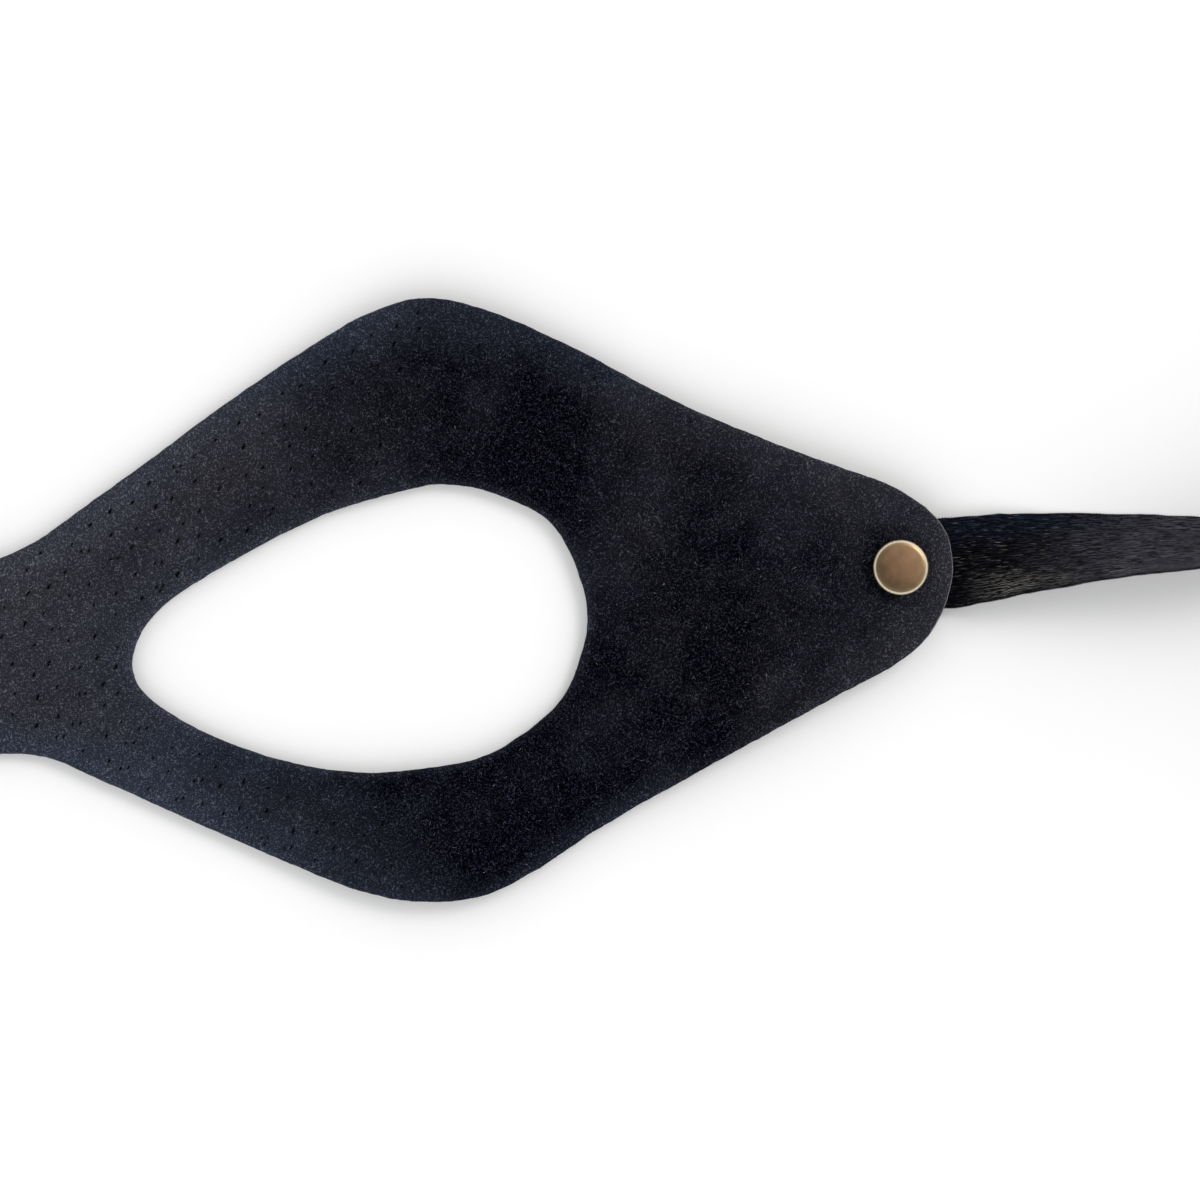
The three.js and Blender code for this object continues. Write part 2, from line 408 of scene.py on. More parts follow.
def makeRibbon(side, s, rows, material):
    sign = sides[side]
    columns = [u * mm for u in s["across"]]
    vertices = []
    places = []
    for centre, across, face, travelled in rows:
        for front in (1, -1):
            for u in columns:
                lift = ripple(s, travelled, u) + front * halfThickness(s, u)
                point = centre + across * strayed(s, travelled, u) + face * lift
                point.z = max(point.z, 0.02 * mm)
                vertices.append((point.x * sign, point.y, point.z))
                places.append((travelled, u * front))
    wide = len(columns)
    faces = []
    for row in range(len(rows) - 1):
        for column in range(wide - 1):
            top = row * 2 * wide + column
            under = top + wide
            faces.append((top, top + 2 * wide, top + 2 * wide + 1, top + 1))
            faces.append((under, under + 1, under + 2 * wide + 1, under + 2 * wide))
        for column, flip in ((0, False), (wide - 1, True)):
            top = row * 2 * wide + column
            quad = (top, top + wide, top + 3 * wide, top + 2 * wide)
            faces.append(quad[::-1] if flip else quad)
    for row, flip in ((0, False), (len(rows) - 1, True)):
        for column in range(wide - 1):
            top = row * 2 * wide + column
            quad = (top, top + 1, top + 1 + wide, top + wide)
            faces.append(quad[::-1] if flip else quad)
    if sign < 0:
        faces = [quad[::-1] for quad in faces]
    piece = meshObject("satinRibbon" + side.capitalize(), vertices, faces, [material])
    uv = piece.data.uv_layers.new(name="threads")
    for loop in piece.data.loops:
        uv.data[loop.index].uv = places[loop.vertex_index]
    return piece


def selvageLines(side, rows, s):
    # a polyline down each edge of the ribbon, for the turns of the weft
    lines = bmesh.new()
    for edge in (-1, 1):
        last = None
        for centre, across, face, travelled in rows:
            u = edge * (s["width"] / 2 - s["weftInset"])
            point = centre + across * strayed(s, travelled, u) + face * ripple(s, travelled, u)
            here = lines.verts.new((point.x * sides[side], point.y, max(point.z, s["weftBead"][1])))
            if last:
                lines.edges.new((last, here))
            last = here
    mesh = bpy.data.meshes.new("selvageLines")
    lines.to_mesh(mesh)
    lines.free()
    return mesh


def makeSatinThreads():
    # threads that lie along x: how high they are, the bands that they lie in, and the few that glint
    group, given, result = newTree(
        "ShaderNodeTree", "satinThreads",
        [("Vector", "Vector", None), ("Strays By", "Float", 0.0005), ("Strays", "Vector", (170, 260, 1)),
         ("Floats", "Vector", (500, 8000, 1)), ("Short Floats", "Vector", (1500, 10000, 1)),
         ("Bands", "Vector", (120, 900, 1)), ("Glints", "Vector", (600, 8000, 1))],
        [("Threads", "Float"), ("Bands", "Float"), ("Glints", "Float")],
    )

    def noiseCells(place, label):
        laid = addNode(group, "ShaderNodeMapping", {"Vector": place, "Scale": given[label]})
        return noiseAt(group, laid.outputs[0], 1.0, 2.0)

    wander = maths(group, "SUBTRACT", noiseCells(given["Vector"], "Strays"), 0.5)
    strays = maths(group, "MULTIPLY", wander, given["Strays By"])
    aside = addNode(group, "ShaderNodeCombineXYZ", {"Y": strays})
    place = addNode(group, "ShaderNodeVectorMath", {0: given["Vector"], 1: aside.outputs[0]}).outputs[0]
    threads = weighed(group, noiseCells(place, "Floats"), 0.6, noiseCells(place, "Short Floats"), 0.4)
    group.links.new(threads, result["Threads"])
    for label in ("Bands", "Glints"):
        group.links.new(noiseCells(place, label), result[label])
    return group


satinThreads = makeSatinThreads()


def band(tree, value, start, full, ends, gone):
    # 1 between full and ends, falling to 0 at start and gone
    return maths(tree, "MULTIPLY", spread(tree, value, start, full), spread(tree, value, gone, ends))


# places are in metres: along a ribbon from its hidden end, and across it from its middle
satin = {
    # how far the threads stray, and how many noise cells to a metre, along and across them
    "threads": {
        "Strays By": 0.5 * mm, "Strays": (170, 260, 1), "Floats": (520, 8200, 1),
        "Short Floats": (1500, 10500, 1), "Bands": (120, 900, 1), "Glints": (600, 7600, 1),
    },
    # where its blue upper edge starts and is full, and how much further along that edge stays in painted
    # shade
    "upper": (1.0 * mm, 4.0 * mm),
    "upperLag": 4.5 * mm,
    # where the painted sheen rises along it, and where its hollows grow paler
    "sheenRises": (19.7 * mm, 32.5 * mm),
    "pales": (45 * mm, 90 * mm),
    # (in the hollows, on the threads)
    "paintedShadePastTab": (colour(0.0004, 0.0004, 0.0007), colour(0.0130, 0.0130, 0.0185)),  # painted shade past the tab
    "blue": (colour(0.0014, 0.0022, 0.0048), colour(0.0150, 0.0215, 0.0400)),  # its upper edge there
    # painted sheen where it has turned on to its edge, further on
    "even": (colour(0.0036, 0.0034, 0.0048), colour(0.0545, 0.0530, 0.0675)),
    "edge": (colour(0.0010, 0.0010, 0.0016), colour(0.0150, 0.0147, 0.0185)),  # the weft's turns
    "palestSheen": colour(0.0290, 0.0282, 0.0360),  # painted sheen in the hollows, far along
    # painted glints on a few threads
    "glintPastTab": colour(0.185, 0.180, 0.176),
    "glintFurtherOn": colour(0.072, 0.070, 0.078),
    "edgeGlint": colour(0.060, 0.059, 0.062),
    # where its lower edge is rubbed, (start, full, full, end): across it, and along it with how strongly
    "rubbedAcross": (-1.2 * mm, -3.2 * mm, -4.3 * mm, -5.0 * mm),
    "rubs": (
        ((14.5 * mm, 19.0 * mm, 20.5 * mm, 26.5 * mm), 1.0),
        ((23.2 * mm, 25.0 * mm, 26.2 * mm, 28.0 * mm), 0.45),
        ((29.8 * mm, 31.6 * mm, 32.8 * mm, 34.6 * mm), 0.45),
    ),
    "rubbed": colour(0.112, 0.108, 0.100),
    "bumpHeight": 0.1 * mm,
    "bumpStrength": 0.12,
}


def satinShades(tree, look, parts, threads, glints):
    # painted shade where it leaves the tab, with a blue upper edge; painted sheen further on, evener and
    # paler, where it turns on to its edge
    upper = spread(tree, parts["Y"], *look["upper"])
    lag = maths(tree, "MULTIPLY", upper, look["upperLag"])
    travelled = maths(tree, "SUBTRACT", parts["X"], lag)
    sheenShare = spread(tree, travelled, *look["sheenRises"])
    threads = maths(tree, "SUBTRACT", threads, spread(tree, sheenShare, 0.0, 1.0, 0.04, 0.0))
    glints = maths(tree, "ADD", glints, spread(tree, sheenShare, 0.0, 1.0, 0.035, 0.0))
    low, high = (
        blended(tree, sheenShare, blended(tree, upper, paintedShadePastTab, blue), even)
        for paintedShadePastTab, blue, even in zip(look["paintedShadePastTab"], look["blue"], look["even"])
    )
    low = blended(tree, spread(tree, travelled, *look["pales"]), low, look["palestSheen"])
    bright = blended(tree, sheenShare, look["glintPastTab"], look["glintFurtherOn"])
    return threads, glints, low, high, bright


def rubbedSatin(tree, look, parts, threads):
    # a mask of the places where the threads are rubbed
    along = 0.0
    for places, strength in look["rubs"]:
        rub = maths(tree, "MULTIPLY", band(tree, parts["X"], *places), strength)
        along = maths(tree, "MAXIMUM", along, rub)
    rubbed = maths(tree, "MULTIPLY", band(tree, parts["Y"], *look["rubbedAcross"]), along)
    return maths(tree, "MULTIPLY", rubbed, spread(tree, threads, 0.49, 0.57))


def makeThreadMaterial(name, look, lengthwise):
    # lengthwise: satin floats that run with the ribbon; otherwise the weft's turns at its edges
    material, tree, shader = newMaterial(name, **{"Metallic": 0.0, "Specular IOR Level": 0.03})
    if lengthwise:
        laid = addNode(tree, "ShaderNodeUVMap", uv_map="threads").outputs["UV"]
    else:
        laid = objectPlace(tree)
    laidThreads = placed(tree, satinThreads, {"Vector": laid, **look["threads"]})
    threads, bands, glints = (laidThreads[label] for label in ("Threads", "Bands", "Glints"))
    shown, low, high, bright = threads, *look["edge"], look["edgeGlint"]
    if lengthwise:
        parts = addNode(tree, "ShaderNodeSeparateXYZ", {0: laid}).outputs
        shown, glints, low, high, bright = satinShades(tree, look, parts, threads, glints)
    lit = maths(tree, "MULTIPLY", spread(tree, shown, 0.46, 0.55), spread(tree, bands, 0.3, 0.65, 0.5, 1.0))
    often = spread(tree, bands, 0.35, 0.6, 0.3, 1.0)
    picked = maths(tree, "MULTIPLY", spread(tree, glints, 0.66, 0.78), often)
    shades = blended(tree, picked, blended(tree, lit, low, high), bright)
    if lengthwise:
        shades = blended(tree, rubbedSatin(tree, look, parts, threads), shades, look["rubbed"])
    tree.links.new(shades, shader.inputs["Base Color"])
    tree.links.new(spread(tree, threads, 0.3, 0.7, 0.32, 0.24), shader.inputs["Roughness"])
    height = weighed(tree, threads, 1.0, bands, 0.5)
    raised(tree, shader, height, look["bumpHeight"], look["bumpStrength"])
    return material


def applyTree(piece, tree, name, inputs):
    # runs a Geometry Nodes tree on the piece's mesh and keeps the result as a plain mesh
    modifier = piece.modifiers.new(tree.name, "NODES")
    modifier.node_group = tree
    sockets = {item.name: item for item in tree.interface.items_tree if item.in_out == "INPUT"}
    for label, value in inputs.items():
        modifier[sockets[label].identifier] = value
    evaluated = piece.evaluated_get(bpy.context.evaluated_depsgraph_get())
    mesh = bpy.data.meshes.new_from_object(evaluated)
    piece.modifiers.remove(modifier)
    mesh.name = name
    result = bpy.data.objects.new(name, mesh)
    bpy.context.scene.collection.objects.link(result)
    return result


def newGeometryTree(name, inputs):
    inputs = [("Geometry", "Geometry", None), *inputs, ("Material", "Material", None)]
    return newTree("GeometryNodeTree", name, inputs, [("Geometry", "Geometry")])


def endGeometryTree(tree, given, result, geometry):
    # one real mesh in the given material
    real = addNode(tree, "GeometryNodeRealizeInstances", {"Geometry": geometry})
    inputs = {"Geometry": real.outputs[0], "Material": given["Material"]}
    painted = addNode(tree, "GeometryNodeSetMaterial", inputs)
    tree.links.new(painted.outputs[0], result["Geometry"])
    return tree


def randomValue(tree, kind, low, high, seed):
    # kind is the type of its sockets: VECTOR or VALUE
    drawn = {"VECTOR": "FLOAT_VECTOR", "VALUE": "FLOAT"}[kind]
    node = addNode(tree, "FunctionNodeRandomValue", {"Seed": seed}, data_type=drawn)
    ends = [socket for socket in node.inputs if socket.type == kind]
    feed(tree, low, ends[0])
    feed(tree, high, ends[1])
    return next(socket for socket in node.outputs if socket.type == kind)


def turnedBy(tree, rotation, angles):
    # the rotation, turned further about its own axes
    further = addNode(tree, "FunctionNodeEulerToRotation", {0: angles}).outputs[0]
    inputs = {"Rotation": rotation, "Rotate By": further}
    return addNode(tree, "FunctionNodeRotateRotation", inputs, rotation_space="LOCAL").outputs[0]


def makeWeftTree():
    # small turns of thread, one after another, along each selvage
    tree, given, result = newGeometryTree(
        "weftTurns",
        [("Pitch", "Float", 0.00034), ("Bead", "Vector", (0.0002, 0.0002, 0.0002)), ("Seed", "Int", 4)],
    )
    line = addNode(tree, "GeometryNodeMeshToCurve", {"Mesh": given["Geometry"]})
    inputs = {"Curve": line.outputs[0], "Length": given["Pitch"]}
    even = addNode(tree, "GeometryNodeResampleCurve", inputs, mode="LENGTH")
    tangent = addNode(tree, "GeometryNodeInputTangent")
    turned = addNode(tree, "FunctionNodeAlignRotationToVector", {"Vector": tangent.outputs[0]}, axis="Z")
    tip = randomValue(tree, "VECTOR", (-0.35, -0.35, -0.4), (0.35, 0.35, 0.4), given["Seed"])
    bead = addNode(tree, "GeometryNodeMeshIcoSphere", {"Radius": 1.0, "Subdivisions": 1})
    copies = addNode(tree, "GeometryNodeInstanceOnPoints", {
        "Points": even.outputs[0], "Instance": bead.outputs["Mesh"],
        "Rotation": turnedBy(tree, turned.outputs[0], tip), "Scale": given["Bead"]})
    return endGeometryTree(tree, given, result, copies.outputs[0])


def joinInto(piece, other):
    # adds the other piece's mesh, with its material, and removes it
    first = len(piece.data.materials)
    for material in other.data.materials:
        piece.data.materials.append(material)
    both = bmesh.new()
    both.from_mesh(piece.data)
    already = len(both.faces)
    both.from_mesh(other.data)
    both.faces.ensure_lookup_table()
    for face in both.faces[already:]:
        face.material_index += first
    both.to_mesh(piece.data)
    both.free()
    piece.data.shade_smooth()
    bpy.data.objects.remove(other)


def dressRibbon(side, s, rows, material, weftTree, weftMaterial):
    piece = makeRibbon(side, s, rows, material)
    helper = bpy.data.objects.new("selvage", selvageLines(side, rows, s))
    bpy.context.scene.collection.objects.link(helper)
    turns = applyTree(helper, weftTree, "weftTurns" + side.capitalize(), {
        "Pitch": s["weftPitch"], "Bead": s["weftBead"], "Seed": s["weftSeed"], "Material": weftMaterial})
    bpy.data.objects.remove(helper)
    joinInto(piece, turns)
    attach(piece, "root")
    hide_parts("ribbon_" + side, "ribbon_coil_" + side)
    print("ribbon", side, triangleCount(piece), "triangles,", round(rows[-1][3], 4), "m long")


satinMaterial = makeThreadMaterial("satin", satin, True)
satinEdge = makeThreadMaterial("satinEdge", satin, False)
weftTree = makeWeftTree()
rows = ribbonRows(ribbon)
for side in sides:
    dressRibbon(side, ribbon, rows, satinMaterial, weftTree, satinEdge)


# The leather: a sheet with a rounded cut edge and real pores, lying as the solid does

leather = {
    "thickness": 1.4 * mm,
    "tabLift": 1.46 * mm,
    "faceStep": 0.52 * mm,
    "backStep": 1.5 * mm,
    "edgeStep": 0.36 * mm,
    # the rounded cut edge: how far in from the cut, and how far below the face, in mm
    "faceRings": ((0.0, 0.34), (0.06, 0.16), (0.16, 0.06), (0.32, 0.015), (0.55, 0.0)),
    "backRings": ((0.0, 0.2), (0.12, 0.05), (0.34, 0.0)),
    "cutWobble": 0.07 * mm,
    "wall": {"rows": 3, "bulge": 0.02, "rough": 0.035},  # the cut side, in mm
    # the points between: how far out they reach in mm, and shares of a step: jitter, off edges, off pores
    "lattice": {"seed": 5, "reach": (109, 34), "jitter": 0.16, "offEdges": 0.45, "offPores": 0.55},
    # the face's unevenness, slow swells, clumps and nap: (how many to a mm, how high in mm)
    "relief": ((0.11, 0.05), (0.8, 0.022), (1.9, 0.016)),
    "reliefFull": 0.8,  # how far in from a cut the clumps and the nap reach their height, in mm
    # the mark round the rivet: pressed flat up to there, and swollen beyond it, in mm
    "pressed": (2.9, 4.2),
    "swollen": {"height": 0.1, "from": (3.0, 4.6), "to": (9.0, 5.0)},
    # how light the nap is, by distance from the middle line in mm, and how much lighter along a cut
    "shade": ((0, 0.91), (12, 0.86), (24, 0.75), (31, 0.61), (39, 0.35), (47, 0.21), (52, 0.06),
              (60, 0.0), (66, 0.05), (71, 0.15), (75, 0.12), (80, 0.02), (84, 0.10), (88.5, 0.25),
              (96, 0.34), (108, 0.40)),
    "rubbedBrow": ((0, 0.60), (20, 0.60), (27, 0.40), (36, 0.40), (42, 0.62), (54, 0.62), (60, 0.44),
                   (74, 0.42), (92, 0.34), (108, 0.40)),
    "rubbedCheek": ((0, 0.42), (20, 0.36), (28, 0.22), (42, 0.22), (50, 0.36), (62, 0.36), (72, 0.34),
                    (80, 0.26), (85, 0.12), (90, 0.10), (96, 0.26), (108, 0.34)),
    "rubbedEye": ((0, 0.04), (28, 0.18), (40, 0.18), (47, 0.06), (53, 0.06), (60, 0.14), (108, 0.14)),
    "rubbedReach": 7,  # how far in from the outline that reaches, in mm
    "eyeReach": 4,
    # the same along the lower side past the cheek
    "narrow": {"reach": 3.5, "from": (48, 58), "to": (98, 90), "below": (0, -8)},
    "dimCheek": {"by": 0.06, "below": (-7, -15), "beyond": (40, 47)},
    # beside the eye's corner it is lighter above and dimmer below: (how much, from and to, up the mask)
    "corner": {"from": (70, 76), "to": (88, 80), "above": (0.12, (2, 12), (24, 15)),
               "below": (0.09, (-5, -10), (-20, -14))},
    "drift": 0.12,  # slow changes of light and of colour
    "lightest": 1.3,
    # the cut's light edge, worn raw fibres with a painted highlight where the tab's end catches the light:
    # how wide on the face and on the back, in mm, and how much of it shows, by distance from the middle
    # line
    "cutEdge": (0.22, 0.4),
    "cutHighlightShows": ((103.5, 0.42), (106.5, 1.0)),
    "fringe": (0.20, 0.36),  # how much lighter the cuts' own edges are: the outline, the eyes
    "fringeReach": 1.1,
    # a painted shadow on the suede at the rivet's inner side: from how far off it, in mm, and by direction
    # as a cosine
    "rivetShadow": {"by": 0.4, "from": (5.6, 3.3), "inner": (0.3, -0.9)},
    # how blue the nap is: more at the cuts, along the brow and low on the cheek, less at the tabs
    "cool": {"least": 0.3, "edge": 0.34, "reach": 6, "brow": (0.6, 20, 30), "cheek": (0.5, -11, -18),
             "tab": (66, 88)},
    "rivet": (102.2, 3.6),
    "rivetHole": 1.6,
    "noseFlatTo": 15,
    "tabRise": (60, 90),
    "curl": {"x": 50, "reach": 34, "brow": 1.3, "cheek": 0.9, "from": 9, "to": 33.5},
    "outline": (
        (0, 4.3), (4.4, 5.6), (13.3, 11.6), (28.9, 23.0), (35.5, 27.4), (41.8, 31.2), (46.4, 33.0),
        (50.0, 33.5), (55.5, 32.4), (64.4, 28.7), (77.7, 21.8), (86.6, 18.0), (95.5, 14.7), (101.0, 12.7),
        (105.0, 10.2), (107.0, 7.9), (107.8, 5.4), (107.9, 2.6), (107.0, -0.8), (105.2, -4.0),
        (102.1, -6.8), (95.5, -10.4), (77.7, -20.2), (68.8, -25.3), (61.0, -30.4), (55.5, -32.9),
        (48.8, -33.5), (42.2, -32.3), (28.9, -26.9), (13.3, -20.0), (7.8, -17.6), (4.4, -17.1), (0, -17.2),
    ),
    "eye": (
        (16.8, -7.0), (17.8, -3.6), (20.4, -0.5), (28.9, 4.9), (37.7, 9.3), (46.6, 12.1), (51.1, 12.9),
        (55.5, 12.3), (60.4, 10.5), (63.1, 8.8), (65.0, 6.2), (66.7, 2.2), (67.5, -1.8), (66.6, -6.6),
        (64.7, -10.8), (62.2, -13.4), (56.4, -17.2), (49.5, -18.7), (42.0, -19.2), (33.3, -17.8),
        (24.4, -14.5), (19.4, -11.5), (17.4, -9.4),
    ),
}

pores = {
    "seed": 11,
    "rows": 80,  # each way from the middle
    "columns": 70,
    "rowStep": 2.5,  # mm between rows, and along a row
    "alongStep": 2.9,
    "rowTurn": 34,  # degrees
    "jitter": 0.62,
    "slant": 60,  # degrees above +X that a pore leans
    "slantSpread": 12,
    "halfLength": (0.17, 0.36),
    "halfWidth": (0.095, 0.155),
    "depth": (0.2, 0.34),
    "leastDepth": 0.1,
    # a ring at the surface, one part way down and one near the bottom: (points, and shares: how far out,
    # how deep, how dark, the darkness being painted shade that deepens down the pore)
    "rings": ((8, 1.35, 0.0, 0.0), (8, 0.95, 0.4, 0.75), (6, 0.5, 0.9, 1.0)),
    "offRivet": 4,
    "offCuts": 1.3,
    "smaller": {"by": 0.9, "from": 52, "to": 84},  # towards the tabs
    "tripletShare": 0.1,
    "triplet": ((0.34, 0.2), (-0.36, 0.12), (0.04, -0.42)),
    "tripletSpread": (0.9, 1.35),
    "tripletSize": 0.4,
    # how many of the places carry a pore, by distance from the middle line in mm
    "density": ((0, 0.97), (34, 0.95), (46, 0.88), (54, 0.62), (64, 0.26), (75, 0.1), (110, 0.08)),
}


def leatherHeight(s, x, y):
    # x and y in mm: flat at the nose, lifted at the tabs, curling up at brow and cheek
    across = abs(x)
    c = s["curl"]
    near = smooth(c["reach"], 0, abs(across - c["x"])) * smooth(s["noseFlatTo"], c["x"], across)
    curl = c["brow"] * smooth(c["from"], c["to"], y) + c["cheek"] * smooth(c["from"], c["to"], -y)
    return s["tabLift"] * smooth(*s["tabRise"], across) + near * curl * mm


def napShade(s, point, depth, outer):
    # how light the brushed face is: rubbed at the nose, at the tabs and along the outline
    across = abs(point.x)
    y = point.y
    if outer:
        narrow = s["narrow"]
        most = mix(lookUp(s["rubbedCheek"], across), lookUp(s["rubbedBrow"], across), smooth(-6, 12, y))
        narrowed = smooth(*narrow["from"], across) * smooth(*narrow["to"], across)
        reach = mix(s["rubbedReach"], narrow["reach"], narrowed * smooth(*narrow["below"], y))
    else:
        most = lookUp(s["rubbedEye"], across) * smooth(-12, -2, y)
        reach = s["eyeReach"]
    shade = lookUp(s["shade"], across) + most * smooth(reach, 0, depth)
    dim = s["dimCheek"]
    shade -= dim["by"] * smooth(*dim["below"], y) * smooth(*dim["beyond"], across)
    shade += s["fringe"][0 if outer else 1] * smooth(s["fringeReach"], 0, depth)
    corner = s["corner"]
    lighter, darker = (
        by * smooth(*start, y) * smooth(*end, y) for by, start, end in (corner["above"], corner["below"])
    )
    shade += (lighter - darker) * smooth(*corner["from"], across) * smooth(*corner["to"], across)
    shade += s["drift"] * noise.noise(Vector((point.x * 0.06, y * 0.09, 4.0)))
    # a painted shadow of the rivet's cap, on the suede at its inner side
    rivetShadow = s["rivetShadow"]
    fromRivet = Vector((across, y)) - Vector(s["rivet"])
    inner = smooth(*rivetShadow["inner"], fromRivet.x / max(0.01, fromRivet.length))
    shade -= rivetShadow["by"] * smooth(*rivetShadow["from"], fromRivet.length) * inner
    return min(s["lightest"], max(0.0, shade))


def napCool(s, point, depth):
    cool = s["cool"]
    edge = cool["edge"] * smooth(cool["reach"], 0, depth)
    brow, cheek = (
        most * smooth(start, full, point.y) for most, start, full in (cool["brow"], cool["cheek"])
    )
    tab = 1 - smooth(*cool["tab"], abs(point.x))
    drift = s["drift"] * noise.noise(Vector((point.x * 0.11, point.y * 0.11, 9.0)))
    return min(1.0, max(0.0, cool["least"] + (edge + brow + cheek) * tab + drift))


def cutLoops(s):
    # the outline and the openings, each a loop of points with its normals into the leather
    right = [Vector(point) for point in s["outline"]]
    left = [Vector((-point.x, point.y)) for point in right[1:-1]][::-1]
    eye = [Vector(point) for point in s["eye"]]
    angles = [step * math.pi / 12 for step in range(24)]
    hole = [Vector((math.cos(angle), math.sin(angle))) * s["rivetHole"] for angle in angles]
    loops = [(right + left, -1)]
    for sign in (1, -1):
        loops.append(([Vector((point.x * sign, point.y)) for point in eye], sign))
        centre = Vector((s["rivet"][0] * sign, s["rivet"][1]))
        loops.append(([centre + point for point in hole], -1))
    result = []
    for knots, turn in loops:
        line = evenly(catmullRom(knots, True, 12), s["edgeStep"] / mm, True)
        count = len(line)
        inward = []
        for index in range(count):
            along = (line[(index + 1) % count] - line[index - 1]).normalized()
            inward.append(Vector((-along.y, along.x)) * turn)
        wobble = [noise.noise(Vector((point.x * 0.35, point.y * 0.35, 5.0)))
                  + 0.8 * noise.noise(Vector((point.x * 1.0, point.y * 1.0, 6.0))) for point in line]
        size = s["cutWobble"] / mm
        line = [point + normal * size * amount for point, normal, amount in zip(line, inward, wobble)]
        result.append((line, inward))
    return result


def boundaryTree(loops):
    total = sum(len(line) for line, _ in loops)
    tree = KDTree(total)
    normals = []
    for line, inward in loops:
        for point, normal in zip(line, inward):
            tree.insert((point.x, point.y, 0), len(normals))
            normals.append((point, normal, line is loops[0][0]))
    tree.balance()
    return tree, normals


def depthInside(tree, normals, point):
    # how far inside the leather a point is, in mm; negative outside it
    found, index, distance = tree.find((point.x, point.y, 0))
    edge, normal, _ = normals[index]
    return distance if (point - edge).dot(normal) > 0 else -distance


def placePores(p, s, tree, normals):
    # rows of slanted slits, single or in threes, thinning out towards the tabs
    chance = random.Random(p["seed"])
    turn = Matrix.Rotation(math.radians(p["rowTurn"]), 2)
    smaller = p["smaller"]
    slits = []
    for row in range(-p["rows"], p["rows"] + 1):
        for column in range(-p["columns"], p["columns"] + 1):
            shift = 0.5 * (row % 2)
            spot = turn @ Vector(((column + shift) * p["alongStep"], row * p["rowStep"]))
            spot += Vector((chance.uniform(-1, 1), chance.uniform(-1, 1))) * p["jitter"]
            keep = chance.random() < lookUp(p["density"], abs(spot.x))
            triplet = chance.random() < p["tripletShare"]
            size = chance.random()
            lean = p["slant"] + chance.uniform(-1, 1) * p["slantSpread"]
            fromRivet = (Vector((abs(spot.x), spot.y)) - Vector(s["rivet"])).length
            if not keep or fromRivet < p["offRivet"] or depthInside(tree, normals, spot) < p["offCuts"]:
                continue
            size -= smaller["by"] * smooth(smaller["from"], smaller["to"], abs(spot.x))
            around = [Vector((0, 0))]
            if triplet:
                around = [Vector(offset) for offset in p["triplet"][:chance.choice((2, 3))]]
                around = [offset * chance.uniform(*p["tripletSpread"]) for offset in around]
                size *= p["tripletSize"]
            for offset in around:
                slits.append((spot + offset, math.radians(lean), size))
    return slits


def slitRings(p, slit):
    # the points of a pore: (place in mm, depth in mm, darkness)
    spot, lean, size = slit
    half = Vector((mix(*p["halfLength"], size), mix(*p["halfWidth"], size)))
    depth = max(p["leastDepth"], mix(*p["depth"], size))
    turn = Matrix.Rotation(lean, 2)
    points = []
    for count, reach, low, dark in p["rings"]:
        for index in range(count):
            angle = 2 * math.pi * index / count
            place = Vector((half.x * reach * math.cos(angle), half.y * reach * math.sin(angle)))
            points.append((spot + turn @ place, depth * low, dark))
    points.append((spot, depth, 1.0))
    return points


def latticePoints(s, step, tree, normals, clear, blocked):
    # a jittered lattice of points that keeps its distance from the edges and the pores
    lattice = s["lattice"]
    wide, high = lattice["reach"]
    chance = random.Random(lattice["seed"])
    points = []
    down = step * math.sqrt(3) / 2
    for row in range(int(-high / down), int(high / down) + 1):
        for column in range(int(-wide / step), int(wide / step) + 1):
            jitter = Vector((chance.uniform(-1, 1), chance.uniform(-1, 1))) * step * lattice["jitter"]
            spot = Vector(((column + 0.5 * (row % 2)) * step, row * down)) + jitter
            if depthInside(tree, normals, spot) < clear + step * lattice["offEdges"]:
                continue
            if blocked is not None:
                if blocked.find((spot.x, spot.y, 0))[2] < step * lattice["offPores"]:
                    continue
            points.append(spot)
    return points


def triangulate(loops, rings, inner):
    # joins the loops, their inward rings and the inner points; returns points, depths in and triangles
    points = []
    edges = []
    for inset, _ in rings:
        for line, inward in loops:
            first = len(points)
            points += [point + normal * inset for point, normal in zip(line, inward)]
            edges += [(first + i, first + (i + 1) % len(line)) for i in range(len(line))]
    ringCount = len(points)
    points += inner
    made = delaunay_2d_cdt(points, edges, [], 0, 1e-6, True)
    if len(made[0]) != len(points):
        raise RuntimeError(f"the outline crosses itself: {len(points)} points became {len(made[0])}")
    order = [ids[0] for ids in made[3]]
    triangles = [tuple(order[i] for i in face) for face in made[2]]
    return points, ringCount, triangles


